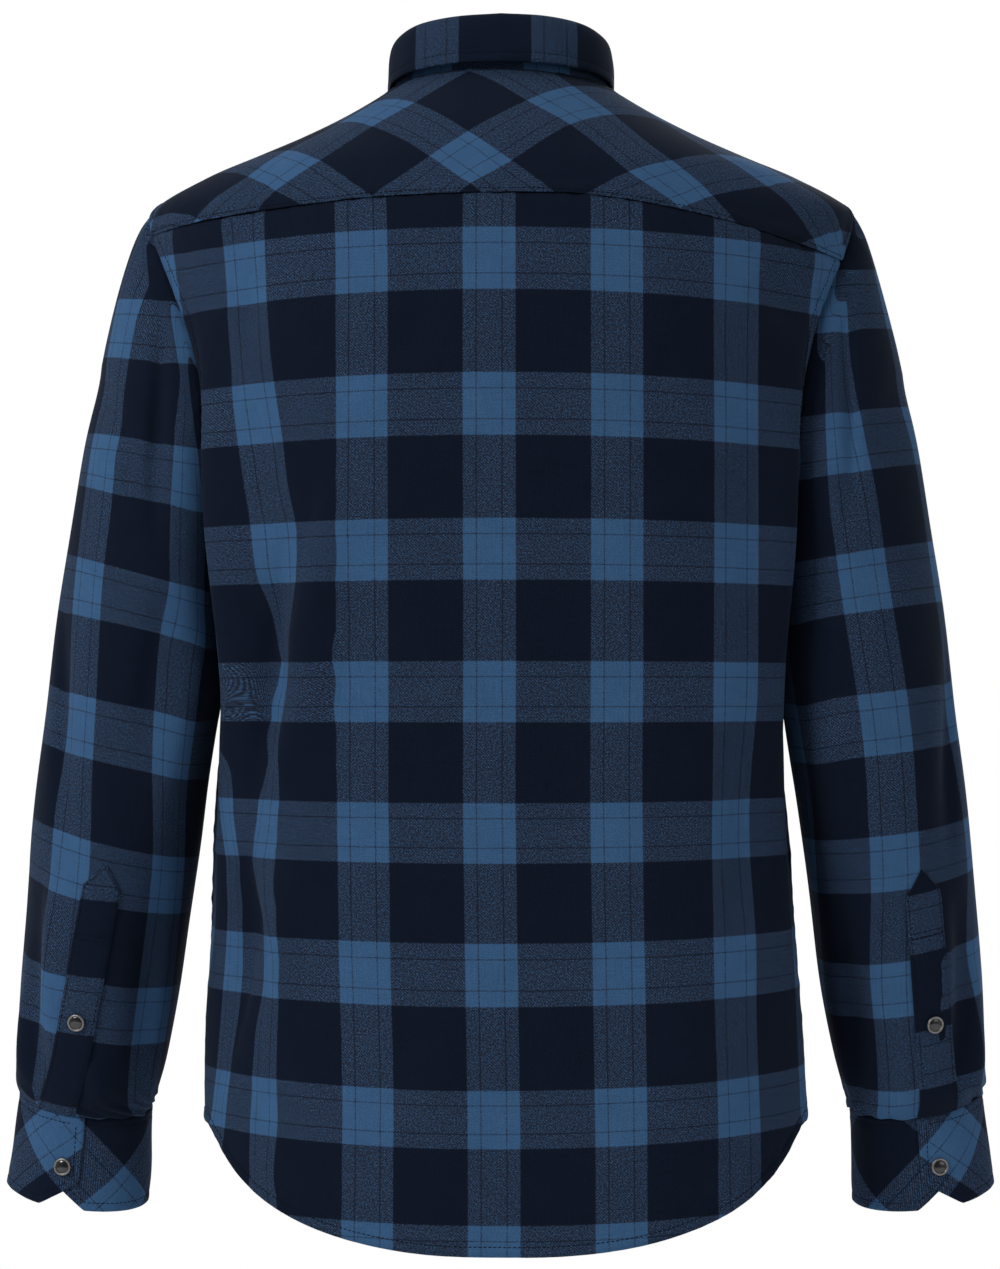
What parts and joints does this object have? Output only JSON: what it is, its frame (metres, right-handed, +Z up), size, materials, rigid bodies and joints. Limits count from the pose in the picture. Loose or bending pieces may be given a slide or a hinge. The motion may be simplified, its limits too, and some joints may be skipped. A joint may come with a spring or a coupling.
{
  "type": "flannel shirt",
  "caption": "Long-sleeved check flannel shirt with a folded collar, back yoke, snap front, snap cuffs and a curved shirt-tail hem, filled out as if worn.",
  "frame": {"origin": "the middle of the neck base, at the height where the collar meets the shoulders, where the shirt sits on its wearer", "axes": "+Z up, +Y out of the back, +X towards the wearer's left; the wearer faces -Y"},
  "size_m": [0.6538, 0.263, 0.7891],
  "materials": {
    "flannel": "brushed cotton check in navy and blue",
    "flannel_bias": "the same brushed cotton check, cut on the bias",
    "snap_rim": "pewter-coloured press snap ring",
    "snap_cap": "dark glossy snap cap"
  },
  "bodies": {
    "root": {"back": "flannel", "front_left": "flannel", "front_right": "flannel", "front_placket": "flannel", "sleeve_left": "flannel", "sleeve_right": "flannel", "sleeve_placket_left": "flannel", "sleeve_placket_right": "flannel", "collar_fall": "flannel", "collar_stand": "flannel", "yoke": "flannel_bias", "cuff_left": "flannel_bias", "cuff_right": "flannel_bias", "snap_front_1_rim": "snap_rim", "snap_front_2_rim": "snap_rim", "snap_front_3_rim": "snap_rim", "snap_front_4_rim": "snap_rim", "snap_front_5_rim": "snap_rim", "snap_front_6_rim": "snap_rim", "snap_stand_rim": "snap_rim", "snap_sleeve_left_rim": "snap_rim", "snap_cuff_left_rim": "snap_rim", "snap_sleeve_right_rim": "snap_rim", "snap_cuff_right_rim": "snap_rim", "snap_front_1_cap": "snap_cap", "snap_front_2_cap": "snap_cap", "snap_front_3_cap": "snap_cap", "snap_front_4_cap": "snap_cap", "snap_front_5_cap": "snap_cap", "snap_front_6_cap": "snap_cap", "snap_stand_cap": "snap_cap", "snap_sleeve_left_cap": "snap_cap", "snap_cuff_left_cap": "snap_cap", "snap_sleeve_right_cap": "snap_cap", "snap_cuff_right_cap": "snap_cap"}
  },
  "joints": []
}
